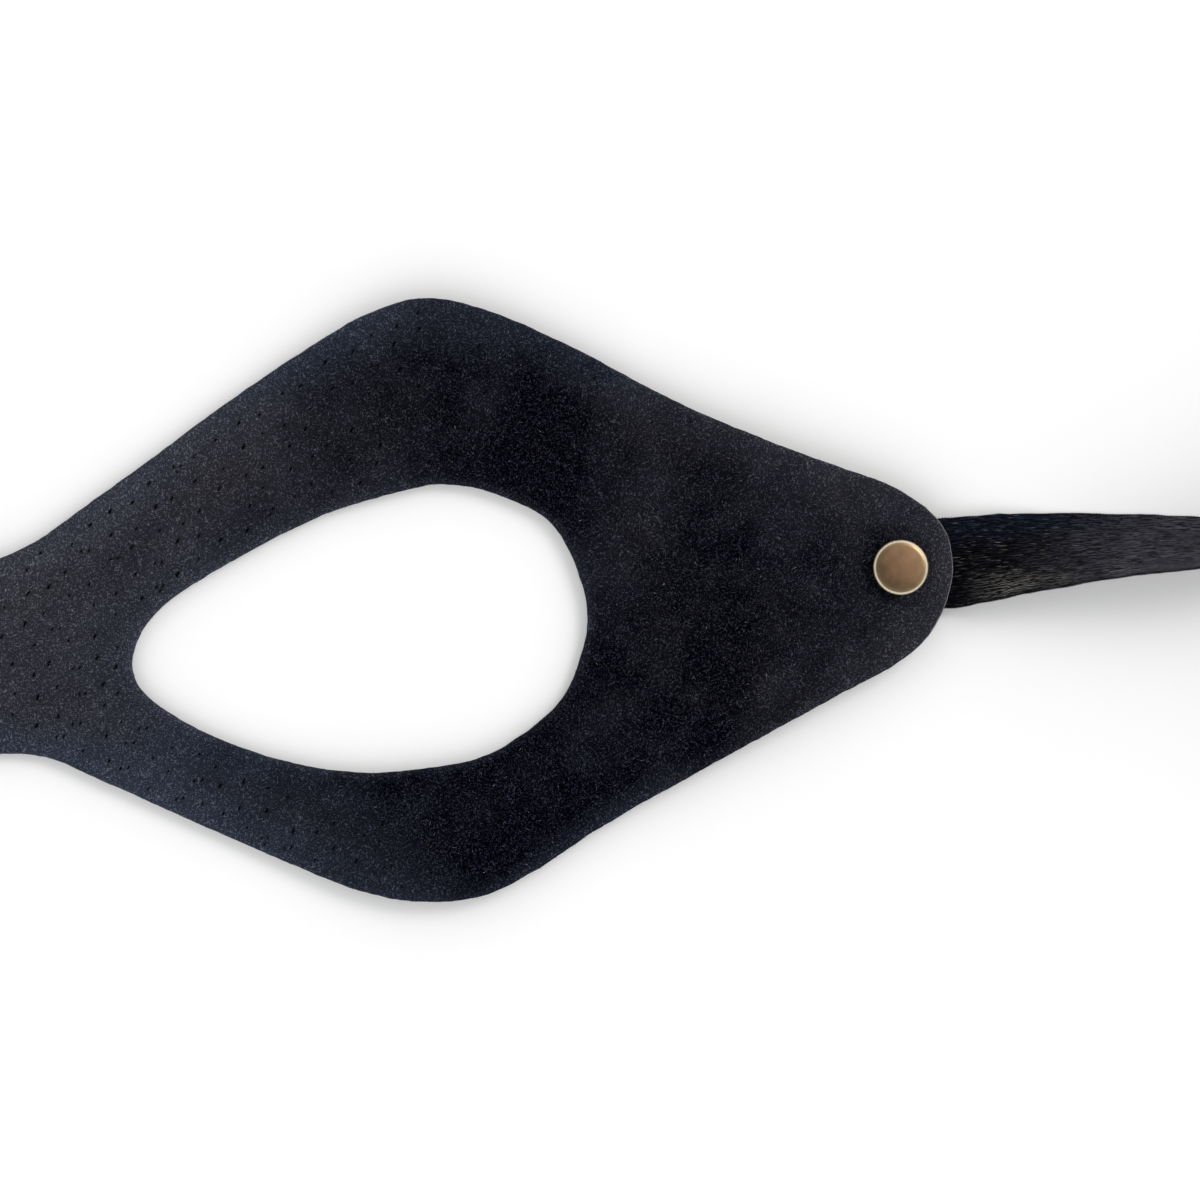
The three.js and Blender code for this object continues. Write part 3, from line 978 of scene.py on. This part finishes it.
def suedeFace(s, p, loops, tree, normals):
    slits = placePores(p, s, tree, normals)
    inner = []
    sink = []
    dark = []
    for slit in slits:
        for point, depth, darkness in slitRings(p, slit):
            inner.append(point)
            sink.append(depth)
            dark.append(darkness)
    blocked = KDTree(len(inner))
    for index, point in enumerate(inner):
        blocked.insert((point.x, point.y, 0), index)
    blocked.balance()
    filler = latticePoints(s, s["faceStep"] / mm, tree, normals, s["faceRings"][-1][0], blocked)
    points, ringCount, triangles = triangulate(loops, s["faceRings"], inner + filler)
    loopCount = sum(len(line) for line, _ in loops)
    sink += [0.0] * len(filler)
    dark += [0.0] * len(filler)
    heights = []
    values = {"pore": [], "cut": [], "shade": [], "cool": []}
    for index, point in enumerate(points):
        if index < ringCount:
            depth, drop = s["faceRings"][index // loopCount]
            darkness = 0.0
        else:
            drop = sink[index - ringCount]
            darkness = dark[index - ringCount]
            depth = depthInside(tree, normals, point)
        heights.append(s["thickness"] - drop * mm + faceRelief(s, point, depth))
        # the light edge shows most at the tab's end, as a painted highlight where it catches the light
        (start, least), (end, most) = s["cutHighlightShows"]
        shows = mix(least, most, smooth(start, end, abs(point.x)))
        outer = normals[tree.find((point.x, point.y, 0))[1]][2]
        values["pore"].append(darkness)
        values["cut"].append((1 - smooth(0.0, s["cutEdge"][0], depth)) * shows)
        values["shade"].append(napShade(s, point, depth, outer))
        values["cool"].append(napCool(s, point, depth))
    print("pores", len(slits))
    return points, heights, triangles, values


def faceRelief(s, point, depth):
    # the suede's own unevenness, and the leather pressed down by the rivet
    swell, clump, nap = (
        noise.noise(Vector((point.x * often, point.y * often, layer))) * height
        for layer, (often, height) in enumerate(s["relief"], 1)
    )
    away = (Vector((abs(point.x), point.y)) - Vector(s["rivet"])).length
    pressed = smooth(*s["pressed"], away)
    ring = s["swollen"]
    swollen = ring["height"] * smooth(*ring["from"], away) * smooth(*ring["to"], away)
    fade = smooth(0.0, s["reliefFull"], depth) * pressed
    return (swell * pressed + (clump + nap) * fade + swollen) * mm


def isOutside(triangle, loopCount, points, tree, normals):
    # only a triangle whose corners all lie on the cut can be in an opening or beyond the outline
    if any(index >= loopCount for index in triangle):
        return False
    centre = sum((points[index] for index in triangle), Vector((0, 0))) / 3
    return depthInside(tree, normals, centre) < 0


def markPlain(values, cut):
    # a point of the back or of the cut side
    for label, value in (("pore", 0.0), ("cut", cut), ("shade", 0.6), ("cool", 0.3)):
        values[label].append(value)


def makeLeather(s, p, materials):
    loops = cutLoops(s)
    tree, normals = boundaryTree(loops)
    loopCount = sum(len(line) for line, _ in loops)
    vertices = []
    faces = []
    slots = []

    def lifted(point, height):
        return (point.x * mm, point.y * mm, leatherHeight(s, point.x, point.y) + height)

    def addTriangles(found, points, offset, facing, slot):
        for a, b, c in found:
            if isOutside((a, b, c), loopCount, points, tree, normals):
                continue
            if (points[b] - points[a]).cross(points[c] - points[a]) * facing < 0:
                b, c = c, b
            faces.append((a + offset, b + offset, c + offset))
            slots.append(slot)

    points, heights, triangles, values = suedeFace(s, p, loops, tree, normals)
    vertices += [lifted(point, height) for point, height in zip(points, heights)]
    addTriangles(triangles, points, 0, 1, 0)
    backFirst = len(vertices)
    filler = latticePoints(s, s["backStep"] / mm, tree, normals, s["backRings"][-1][0], None)
    points, ringCount, triangles = triangulate(loops, s["backRings"], filler)
    for index, point in enumerate(points):
        inset, rise = s["backRings"][index // loopCount] if index < ringCount else (1.0, 0.0)
        vertices.append(lifted(point, rise * mm))
        markPlain(values, 1 - smooth(0.0, s["cutEdge"][1], inset))
    addTriangles(triangles, points, backFirst, -1, 1)
    addWall(s, loops, vertices, faces, slots, values, backFirst, lifted)
    return meshObject("suedeMask", vertices, faces, materials, values, slots)


def addWall(s, loops, vertices, faces, slots, values, backFirst, lifted):
    # the cut side, between the first ring of the face and the first ring of the back
    wall = s["wall"]
    top = s["thickness"] - s["faceRings"][0][1] * mm
    bottom = s["backRings"][0][1] * mm
    start = 0
    for line, inward in loops:
        count = len(line)
        rings = [list(range(start, start + count))]
        for row in range(1, wall["rows"]):
            first = len(vertices)
            height = mix(top, bottom, row / wall["rows"])
            for point, normal in zip(line, inward):
                rough = noise.noise(Vector((point.x * 2.2, point.y * 2.2, height * 2500)))
                out = wall["rough"] * rough + wall["bulge"]
                vertices.append(lifted(point - normal * out, height))
                markPlain(values, 1.0)
            rings.append(list(range(first, first + count)))
        rings.append(list(range(backFirst + start, backFirst + start + count)))
        hole = (line[1] - line[0]).cross(inward[0]) < 0
        for upper, lower in zip(rings, rings[1:]):
            for i in range(count):
                j = (i + 1) % count
                quad = (upper[i], lower[i], lower[j], upper[j])
                faces.append(quad[::-1] if hole else quad)
                slots.append(2)
        start += count


suede = {
    # how many noise cells to a metre
    "fibres": 6700.0,
    "clumps": 1700.0,
    "clouds": 75.0,
    "patches": 260.0,
    "hues": 60.0,
    "drift": 0.11,  # how much lighter or darker the clouds and the patches are
    "hueDrift": 0.12,
    # strokes of a brush: how far they are turned, in radians, and how long and wide they are
    "brushed": {"turn": 0.95, "size": (17 * mm, 5.2 * mm, 10 * mm), "darker": -0.07, "lighter": 0.09},
    # (where it looks neutral, where it looks blue): under the fibres, and on them where it is light or dim
    "deep": (colour(0.0295, 0.0292, 0.0355), colour(0.0222, 0.0262, 0.0405)),
    "tips": (colour(0.222, 0.217, 0.237), colour(0.165, 0.194, 0.272)),
    "dimTips": (colour(0.0480, 0.0474, 0.0655), colour(0.0405, 0.0440, 0.0830)),
    "deepest": colour(0.0003, 0.0005, 0.0018),
    # painted shade deep in the pores
    "inPores": colour(0.0015, 0.0015, 0.002),
    "back": colour(0.024, 0.021, 0.021),
    "backShare": 0.45,
    # the cut's light edge: worn raw fibres, with a painted highlight at the tab's end
    "worn": {"suedeFace": colour(0.190, 0.188, 0.190), "suedeBack": colour(0.190, 0.188, 0.190),
             "suedeCut": colour(0.038, 0.038, 0.041)},
    "bumpHeight": {"suedeFace": 0.12 * mm, "suedeBack": 0.06 * mm, "suedeCut": 0.12 * mm},
}


def makeSuedeMaterial(name, look, lightest):
    material, tree, shader = newMaterial(name, **{
        "Metallic": 0.0, "Specular IOR Level": 0.0, "Sheen Weight": 0.03, "Sheen Roughness": 0.45})
    place = objectPlace(tree)
    inputs = {"Vector": place, "Fibre Scale": look["fibres"], "Clump Scale": look["clumps"]}
    grain = placed(tree, fibreGrain, inputs)
    hue = spread(tree, noiseAt(tree, place, look["hues"]), 0.35, 0.65, -look["hueDrift"], look["hueDrift"])
    cool = maths(tree, "ADD", attribute(tree, "cool"), hue, clamp=True)
    shade = attribute(tree, "shade")
    for often in (look["clouds"], look["patches"]):
        drift = spread(tree, noiseAt(tree, place, often), 0.3, 0.7, -look["drift"], look["drift"])
        shade = maths(tree, "ADD", shade, drift)
    brush = look["brushed"]
    inputs = {"Vector": place, "Rotation": (0.0, 0.0, brush["turn"]), "Scale": brush["size"]}
    brushed = addNode(tree, "ShaderNodeMapping", inputs, vector_type="TEXTURE")
    strokes = noiseAt(tree, brushed.outputs[0], 1.0, 3.0, 0.6)
    strokes = spread(tree, strokes, 0.35, 0.7, brush["darker"], brush["lighter"])
    shade = maths(tree, "DIVIDE", maths(tree, "ADD", shade, strokes), lightest, clamp=True)
    deep = blended(tree, shade, look["deepest"], blended(tree, cool, *look["deep"]))
    dim = blended(tree, cool, *look["dimTips"])
    tips = blended(tree, shade, dim, blended(tree, cool, *look["tips"]))
    fleck = spread(tree, grain["Clumps"], 0.35, 0.65, 0.35, 1.0)
    fleck = maths(tree, "MULTIPLY", grain["Fibres"], fleck)
    # where it is rubbed light, more of it is flecked
    fleck = maths(tree, "POWER", fleck, spread(tree, shade, 0.0, 1.0, 1.0, 0.69))
    napped = blended(tree, fleck, deep, tips)
    if name == "suedeBack":
        napped = blended(tree, look["backShare"], napped, look["back"])
    pitted = blended(tree, attribute(tree, "pore"), napped, look["inPores"])
    edged = placed(tree, wornEdge, {
        "Vector": place, "Mask": attribute(tree, "cut"), "Break Up": 0.75, "Color": pitted,
        "Worn Color": look["worn"][name]})
    tree.links.new(edged["Color"], shader.inputs["Base Color"])
    tree.links.new(spread(tree, grain["Fibres"], 0.0, 1.0, 0.98, 0.8), shader.inputs["Roughness"])
    raised(tree, shader, grain["Height"], look["bumpHeight"][name], 0.9)
    return material


suedeMaterials = [makeSuedeMaterial(name, suede, leather["lightest"]) for name in suede["worn"]]
mask = makeLeather(leather, pores, suedeMaterials)
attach(mask, "root")
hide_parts("leather_mask")
print("leather", triangleCount(mask), "triangles")


# The nap: short loose fibres that stand out of the suede, more of them along the cuts

nap = {
    "seed": 21,
    "density": 2.0e6,  # fibres per square metre
    "length": (0.14 * mm, 0.36 * mm),
    "radius": 0.017 * mm,
    "lie": 1.15,  # radians that a fibre leans over
    "darkest": colour(0.012, 0.012, 0.017),
    "dark": colour(0.085, 0.085, 0.100),
    "grey": colour(0.215, 0.21, 0.205),  # about one in twenty
    "pale": colour(0.42, 0.41, 0.4),  # about one in eighty
}


def makeNapTree():
    tree, given, result = newGeometryTree(
        "looseNap",
        [("Density", "Float", 1e6), ("Shortest", "Float", 0.0003), ("Longest", "Float", 0.0007),
         ("Radius", "Float", 0.00001), ("Lie", "Float", 1.0), ("Seed", "Int", 1)],
    )
    # fibres stand on the face and on the cut sides, but not on the back
    facing = addNode(tree, "GeometryNodeInputNormal")
    parts = addNode(tree, "ShaderNodeSeparateXYZ", {0: facing.outputs[0]})
    front = maths(tree, "GREATER_THAN", parts.outputs["Z"], -0.2)
    spots = addNode(tree, "GeometryNodeDistributePointsOnFaces", {
        "Mesh": given["Geometry"], "Density": maths(tree, "MULTIPLY", front, given["Density"]),
        "Seed": given["Seed"]}, distribute_method="RANDOM")
    # each leans over by its own share of the lie, to any side
    swing = randomValue(tree, "VECTOR", (0.0, 0.45, 0.0), (0.0, 1.0, 6.2832), given["Seed"])
    swung = addNode(tree, "ShaderNodeSeparateXYZ", {0: swing})
    about = addNode(tree, "ShaderNodeCombineXYZ", {"Z": swung.outputs["Z"]})
    lean = maths(tree, "MULTIPLY", swung.outputs["Y"], given["Lie"])
    tilt = addNode(tree, "ShaderNodeCombineXYZ", {"Y": lean})
    rotation = turnedBy(tree, spots.outputs["Rotation"], about.outputs[0])
    rotation = turnedBy(tree, rotation, tilt.outputs[0])
    drawn = randomValue(tree, "VALUE", given["Shortest"], given["Longest"], given["Seed"])
    size = addNode(tree, "ShaderNodeCombineXYZ", {"X": drawn, "Y": given["Radius"], "Z": drawn})
    # a fibre one unit long, thin across y, curving over towards x as it rises
    cone = addNode(tree, "GeometryNodeMeshCone", {
        "Vertices": 3, "Side Segments": 2, "Radius Top": 0.0, "Radius Bottom": 1.0, "Depth": 1.0})
    place = addNode(tree, "GeometryNodeInputPosition")
    parts = addNode(tree, "ShaderNodeSeparateXYZ", {0: place.outputs[0]}).outputs
    aside = weighed(tree, parts["X"], 0.03, maths(tree, "POWER", parts["Z"], 2.0), 0.45)
    shape = addNode(tree, "ShaderNodeCombineXYZ", {"X": aside, "Y": parts["Y"], "Z": parts["Z"]})
    fibre = addNode(tree, "GeometryNodeSetPosition", {
        "Geometry": cone.outputs["Mesh"], "Position": shape.outputs[0]})
    copies = addNode(tree, "GeometryNodeInstanceOnPoints", {
        "Points": spots.outputs["Points"], "Instance": fibre.outputs[0], "Rotation": rotation,
        "Scale": size.outputs[0]})
    # every fibre gets its own shade, from 0 to 1
    tint = randomValue(tree, "VALUE", 0.0, 1.0, given["Seed"])
    marked = addNode(tree, "GeometryNodeStoreNamedAttribute", {
        "Geometry": copies.outputs[0], "Name": "shade"}, data_type="FLOAT", domain="INSTANCE")
    value = next(item for item in marked.inputs if (item.name, item.type) == ("Value", "VALUE"))
    tree.links.new(tint, value)
    return endGeometryTree(tree, given, result, marked.outputs[0])


def makeNapMaterial(look):
    material, tree, shader = newMaterial("looseNap", **{"Roughness": 0.75, "Specular IOR Level": 0.3})
    shade = attribute(tree, "shade")
    plain = blended(tree, spread(tree, shade, 0.0, 0.8), look["darkest"], look["dark"])
    grey = blended(tree, spread(tree, shade, 0.93, 0.94), plain, look["grey"])
    pale = blended(tree, spread(tree, shade, 0.985, 0.99), grey, look["pale"])
    tree.links.new(pale, shader.inputs["Base Color"])
    return material


fibres = applyTree(mask, makeNapTree(), "suedeNap", {
    "Density": nap["density"], "Shortest": nap["length"][0], "Longest": nap["length"][1],
    "Radius": nap["radius"], "Lie": nap["lie"], "Seed": nap["seed"], "Material": makeNapMaterial(nap)})
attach(fibres, "root")
print("nap", triangleCount(fibres), "triangles")


# Rivets: a cap with a rolled rim on each face of the tab, on one post

rivet = {
    "at": (102.14, 3.6),
    "segments": 120,
    "capRadius": 3.09,
    "frontSeat": 2.89,  # mm above the table
    "frontHeight": 1.25,
    "backHeight": 1.1,
    # the rolled rim: (mm in from its edge, mm up from its seat or down from its face, wear)
    "rimUnder": ((0.42, 0.0, 0.0), (0.2, 0.03, 0.0), (0.07, 0.12, 0.15), (0.01, 0.28, 0.1),
                 (0.0, 0.45, 0.05)),
    "rimOver": ((0.0, 0.48, 0.0), (0.01, 0.38, 0.2), (0.04, 0.27, 0.3), (0.08, 0.185, 0.4),
                (0.12, 0.13, 0.6), (0.17, 0.085, 0.85), (0.22, 0.052, 0.95), (0.27, 0.028, 0.7),
                (0.32, 0.008, 0.4)),
    "rimWidth": 0.36,
    "crown": 0.2,
    "crownSteps": 16,
    "litFrom": 44,  # degrees round from +X towards which the cap is painted lighter, as if lit from there
    "socketRadius": 1.45,
    "socketWall": 0.4,
    "socketReach": 1.2,
    "socketTop": 0.5,
    "stemRadius": 0.9,
    "stemTop": 0.4,
    "stemChamfer": (0.15, 0.1),
}


def capShell(s, height):
    # half of the cap's outline, from under its rim over the face to the axis: (radius, height, wear)
    r = s["capRadius"]
    face = height - s["crown"]
    shell = [(r - inset, up, wear) for inset, up, wear in s["rimUnder"]]
    shell += [(r - inset, face - down, wear) for inset, down, wear in s["rimOver"]]
    for step in range(1, s["crownSteps"] + 1):
        part = 1 - (step / s["crownSteps"]) ** 1.5
        dome = s["crown"] * (0.64 * part ** 2 + 0.36 * part ** 20)
        shell.append(((r - s["rimWidth"]) * part, height - dome, 0.0))
    return shell


def lathe(name, profile, centre, material, s):
    # turns (radius, height, wear) round an upright axis, marking where the brass is worn, how far in from
    # the rim each point is, and how much painted shade it gets on the side away from the light
    vertices = []
    values = {"wear": [], "middle": [], "shadedSide": []}
    rings = []
    for radius, height, worn in profile:
        out = radius / s["capRadius"]
        ring = []
        for step in range(s["segments"] if radius > 0 else 1):
            angle = 2 * math.pi * step / s["segments"]
            ring.append(len(vertices))
            vertices.append((centre[0] + radius * mm * math.cos(angle),
                             centre[1] + radius * mm * math.sin(angle), height * mm))
            turned = math.cos(angle - math.radians(s["litFrom"]))
            values["wear"].append(worn)
            values["middle"].append(1 - out)
            values["shadedSide"].append(0.5 + 0.3 * out ** 2 - 0.6 * out * turned)
        rings.append(ring)
    faces = []
    for low, high in zip(rings, rings[1:]):
        for step in range(s["segments"]):
            after = (step + 1) % s["segments"]
            if len(low) == 1:
                faces.append((low[0], high[after], high[step]))
            elif len(high) == 1:
                faces.append((low[step], low[after], high[0]))
            else:
                faces.append((low[step], low[after], high[after], high[step]))
    return meshObject(name, vertices, faces, [material], values)


def makeRivet(side, s, material):
    centre = (s["at"][0] * mm * sides[side], s["at"][1] * mm)
    seat = s["frontSeat"]
    top = seat + s["socketTop"]
    reach = seat - s["socketReach"]
    bore = s["socketRadius"] - s["socketWall"]
    front = [(0, top, 0), (bore, top, 0), (bore, reach, 0), (s["socketRadius"], reach, 0),
             (s["socketRadius"], seat + 0.02, 0)]
    front += [(radius, seat + height, wear) for radius, height, wear in capShell(s, s["frontHeight"])]
    backShell = capShell(s, s["backHeight"])[::-1]
    back = [(radius, s["backHeight"] - height, wear) for radius, height, wear in backShell]
    stem = s["stemRadius"]
    inset, down = s["stemChamfer"]
    tip = seat + s["stemTop"]
    back += [(stem, s["backHeight"], 0), (stem, tip - down, 0), (stem - inset, tip, 0), (0, tip, 0)]
    cap = lathe("rivetCap" + side.capitalize(), front, centre, material, s)
    post = lathe("rivetPost" + side.capitalize(), back, centre, material, s)
    for piece, node in ((cap, "rivet_cap_" + side), (post, "rivet_post_" + side)):
        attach(piece, "root")
        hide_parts(node)


oldBrass = {
    "mottles": 900.0,  # noise cells to a metre
    "pits": 5200.0,
    # the patina, painted in shade on the side away from the light (dark) and lit on the side towards it
    # (light): (towards the rim, in the middle of a cap)
    "dark": (colour(0.170, 0.122, 0.068), colour(0.170, 0.101, 0.058)),
    "light": (colour(0.530, 0.356, 0.191), colour(0.520, 0.304, 0.172)),
    "pit": colour(0.09, 0.06, 0.04),
    "worn": colour(0.62, 0.565, 0.44),
    "roughness": (0.34, 0.37),
    "wornRoughness": 0.36,  # what wear adds
    "bumpHeight": 0.03 * mm,
}


def makeBrass(look):
    material, tree, shader = newMaterial("oldBrass", **{"Metallic": 0.9})
    place = objectPlace(tree)
    mottled = noiseAt(tree, place, look["mottles"], 4.0, 0.6)
    fine = noiseAt(tree, place, look["pits"], 3.0, 0.6)
    uneven = spread(tree, mottled, 0.3, 0.7, -0.12, 0.12)
    middle = spread(tree, maths(tree, "ADD", attribute(tree, "middle"), uneven), 0.05, 0.5)
    # painted shade and light: the cap darker round its rim and on the side away from the light, lighter
    # towards it
    shadedSide = maths(tree, "ADD", attribute(tree, "shadedSide"), uneven, clamp=True)
    dark = blended(tree, middle, *look["dark"])
    patinaLitAndShaded = blended(tree, shadedSide, blended(tree, middle, *look["light"]), dark)
    pits = maths(tree, "MULTIPLY", spread(tree, fine, 0.66, 0.74), 0.6)
    rubbed = placed(tree, wornEdge, {
        "Vector": place, "Mask": attribute(tree, "wear"), "Break Up": 0.35, "Scale": 1800.0,
        "Color": blended(tree, pits, patinaLitAndShaded, look["pit"]), "Worn Color": look["worn"]})
    tree.links.new(rubbed["Color"], shader.inputs["Base Color"])
    # polished smooth by handling towards its rim
    smoothed = spread(tree, attribute(tree, "middle"), 0.14, 0.35, *look["roughness"])
    scuffs = maths(tree, "MULTIPLY", attribute(tree, "wear"), look["wornRoughness"])
    tree.links.new(maths(tree, "ADD", smoothed, scuffs), shader.inputs["Roughness"])
    raised(tree, shader, weighed(tree, mottled, 0.6, fine, 0.3), look["bumpHeight"], 0.4)
    return material


brass = makeBrass(oldBrass)
for side in sides:
    makeRivet(side, rivet, brass)
print("rivets made")


# Floor and light

studio = {
    "floorSize": 24.0,
    "floorColour": colour(0.93, 0.93, 0.93),
    "horizon": 1.4,
    "zenith": 0.4,
    "pales": (0.88, 0.4),  # the height of the view, as a sine, over which the sky turns paler
    "lights": (
        {"name": "key", "at": (1.02, 0.8, 1.08), "size": 0.7, "power": 8.0, "colour": (1.0, 0.99, 0.97)},
        {"name": "fill", "at": (-0.2, -1.1, 1.1), "size": 1.8, "power": 4.6, "colour": (0.96, 0.98, 1.0)},
    ),
    "aim": Vector((0.03, 0.0, 0.0)),
}


def makeSky(s):
    # pale all round and dimmer overhead, so that flat black surfaces stay black from above
    world = bpy.data.worlds.new("studio")
    world.use_nodes = True
    tree = world.node_tree
    direction = addNode(tree, "ShaderNodeTexCoord").outputs["Generated"]
    height = addNode(tree, "ShaderNodeSeparateXYZ", {0: direction}).outputs["Z"]
    strength = spread(tree, height, *s["pales"], s["zenith"], s["horizon"])
    tree.links.new(strength, tree.nodes["Background"].inputs["Strength"])
    tree.nodes["Background"].inputs["Color"].default_value = colour(1, 1, 1)
    bpy.context.scene.world = world


def makeStudio(s):
    half = s["floorSize"] / 2
    material, tree, shader = newMaterial("paleFloor", **{"Roughness": 0.9, "Specular IOR Level": 0.1})
    place = objectPlace(tree)
    shade = spread(tree, noiseAt(tree, place, 40.0), 0.3, 0.7, 0.0, 1.0)
    base = s["floorColour"]
    paler = colour(*(min(1.0, part * 1.01) for part in base[:3]))
    tree.links.new(blended(tree, shade, base, paler), shader.inputs["Base Color"])
    corners = [(-half, -half, 0), (half, -half, 0), (half, half, 0), (-half, half, 0)]
    floor = meshObject("floor", corners, [(0, 1, 2, 3)], [material])
    makeSky(s)
    for lamp in s["lights"]:
        data = bpy.data.lights.new(lamp["name"], "AREA")
        data.size = lamp["size"]
        data.energy = lamp["power"]
        data.color = lamp["colour"]
        light = bpy.data.objects.new(lamp["name"], data)
        light.location = lamp["at"]
        light.rotation_euler = (s["aim"] - light.location).to_track_quat("-Z", "Y").to_euler()
        bpy.context.scene.collection.objects.link(light)
    bpy.context.scene.view_settings.view_transform = "Standard"


makeStudio(studio)
print("studio made")
